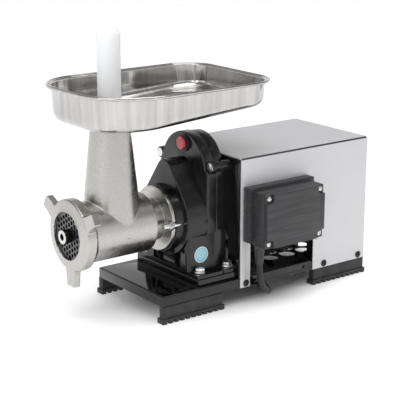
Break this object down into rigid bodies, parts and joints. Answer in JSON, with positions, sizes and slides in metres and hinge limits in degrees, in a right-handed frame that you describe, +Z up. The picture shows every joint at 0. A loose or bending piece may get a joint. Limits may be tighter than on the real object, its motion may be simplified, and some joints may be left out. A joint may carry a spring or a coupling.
{
  "type": "electric meat grinder",
  "caption": "Countertop electric meat grinder: cast head with tray and pusher on a gear motor under a folded metal cover, on a ribbed rubber-footed base.",
  "frame": {"origin": "bottom centre of the machine's box, without its supply cord, on the surface it stands on", "axes": "+X from the outlet to the back of the motor, +Y away from the control box, +Z up"},
  "size_m": [0.518, 0.359, 0.421],
  "materials": {
    "black_gloss_paint": "gloss stoved enamel",
    "black_casting_paint": "gloss paint on a casting",
    "black_rubber": "moulded, matt",
    "zinc_steel": "bright zinc plate",
    "polished_stainless": "bright polished sheet",
    "tinned_iron": "hot-tinned, satin, slightly pitted",
    "tool_steel": "ground",
    "machined_steel": "turned",
    "gear_steel": "cut teeth, oiled",
    "bearing_steel": "ground",
    "lamination_steel": "varnished stack",
    "copper_winding": "varnished wire",
    "cast_aluminium": "as cast",
    "black_plastic": "fine moulded grain",
    "white_plastic": "translucent, satin",
    "red_plastic": "gloss",
    "black_steel": "black oxide",
    "gasket_paper": "pressed fibre",
    "sticker_paper": "printed film",
    "grey_plastic": "moulded",
    "cord_sheath": "flexible sheath"
  },
  "bodies": {
    "frame": {"base_pan": "black_gloss_paint", "rubber_feet": "black_rubber", "spacer_plate": "black_gloss_paint", "foot_bolts": "zinc_steel", "foot_washers": "zinc_steel", "gearbox_front_case": "black_casting_paint", "gearbox_gasket": "gasket_paper", "gearbox_rear_case": "black_casting_paint", "case_screws": "zinc_steel", "bearing_bridge": "cast_aluminium", "output_seal": "black_rubber", "output_front_bearing": "bearing_steel", "output_rear_bearing": "bearing_steel", "intermediate_bearings": "bearing_steel", "round_sticker": "sticker_paper", "button_bezel": "black_plastic", "switch_block": "grey_plastic", "motor_front_shield": "cast_aluminium", "motor_flange_screws": "zinc_steel", "motor_rear_shield": "cast_aluminium", "motor_housing": "cast_aluminium", "motor_tie_rods": "zinc_steel", "stator_core": "lamination_steel", "stator_windings": "copper_winding", "motor_bearings": "bearing_steel", "fan_cowl": "black_steel", "motor_support": "black_steel", "cover": "polished_stainless", "cover_rear_panel": "polished_stainless", "cover_front_plate": "black_gloss_paint", "cover_screws": "black_steel", "control_box_back": "black_plastic", "control_box_body": "black_plastic", "control_box_lid": "black_plastic", "lid_screws": "zinc_steel", "run_capacitor": "grey_plastic", "terminal_block": "grey_plastic", "cable_gland": "black_plastic", "clamp_studs": "zinc_steel", "clamp_nuts": "zinc_steel", "grinder_body": "tinned_iron", "grinder_plate": "tool_steel", "plate_key": "tool_steel", "cord_lead": "cord_sheath", "cord_coil": "cord_sheath", "cord_plug": "black_plastic"},
    "rotor": {"rotor_core": "lamination_steel", "motor_shaft": "machined_steel", "motor_pinion": "gear_steel", "cooling_fan": "black_plastic"},
    "intermediate": {"intermediate_shaft": "gear_steel", "intermediate_gear": "gear_steel"},
    "output": {"output_gear": "gear_steel", "output_shaft": "machined_steel", "feed_screw": "tinned_iron", "knife": "tool_steel"},
    "ring_nut": {"ring_nut": "tinned_iron"},
    "pusher": {"pusher": "white_plastic"},
    "tray": {"feed_tray": "polished_stainless"},
    "button": {"red_button": "red_plastic"}
  },
  "joints": [
    {"name": "rotor_spin", "type": "hinge", "parent": "frame", "child": "rotor", "pos_m": [0.0872, 0.01275, 0.1394], "axis": [1, 0, 0], "continuous": true},
    {"name": "intermediate_spin", "type": "hinge", "parent": "frame", "child": "intermediate", "pos_m": [-0.0328, 0.01275, 0.1964], "axis": [1, 0, 0], "continuous": true},
    {"name": "output_spin", "type": "hinge", "parent": "frame", "child": "output", "pos_m": [-0.0928, 0.01275, 0.1304], "axis": [1, 0, 0], "continuous": true},
    {"name": "ring_nut_turn", "type": "hinge", "parent": "frame", "child": "ring_nut", "pos_m": [-0.2348, 0.01275, 0.1304], "axis": [1, 0, 0], "range_deg": [0, 360]},
    {"name": "pusher_lift", "type": "slide", "parent": "frame", "child": "pusher", "axis": [0, 0, 1], "range_m": [0, 0.2]},
    {"name": "tray_lift", "type": "slide", "parent": "frame", "child": "tray", "axis": [0, 0, 1], "range_m": [0, 0.12]},
    {"name": "button_press", "type": "slide", "parent": "frame", "child": "button", "axis": [1, 0, 0], "range_m": [0, 0.003], "stiffness_N_per_m": 600, "springref_m": -0.002}
  ],
  "couplings": [
    {"joint": "intermediate_spin", "follows": "rotor_spin", "ratio": -0.26667},
    {"joint": "output_spin", "follows": "rotor_spin", "ratio": 0.071795}
  ]
}
